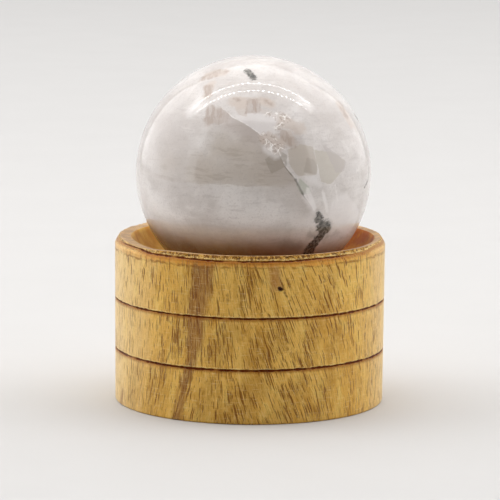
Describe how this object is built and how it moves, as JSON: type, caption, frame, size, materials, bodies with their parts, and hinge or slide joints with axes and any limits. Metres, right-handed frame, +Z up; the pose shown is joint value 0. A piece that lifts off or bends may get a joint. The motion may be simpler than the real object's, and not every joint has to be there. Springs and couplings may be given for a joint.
{
  "type": "decorative sphere on cup stand",
  "caption": "Polished milky mineral sphere that rests in a short turned wooden cup stand with two scored rings and a bevelled rim.",
  "frame": {"origin": "centre of the stand's flat underside", "axes": "+Z up along the stand's axis, the viewer stands on the -Y side"},
  "size_m": [0.052, 0.052, 0.0664],
  "materials": {
    "polished_stone": "polished",
    "turned_wood": "satin"
  },
  "bodies": {
    "root": {"stone_sphere": "polished_stone", "wood_stand": "turned_wood"}
  },
  "joints": []
}
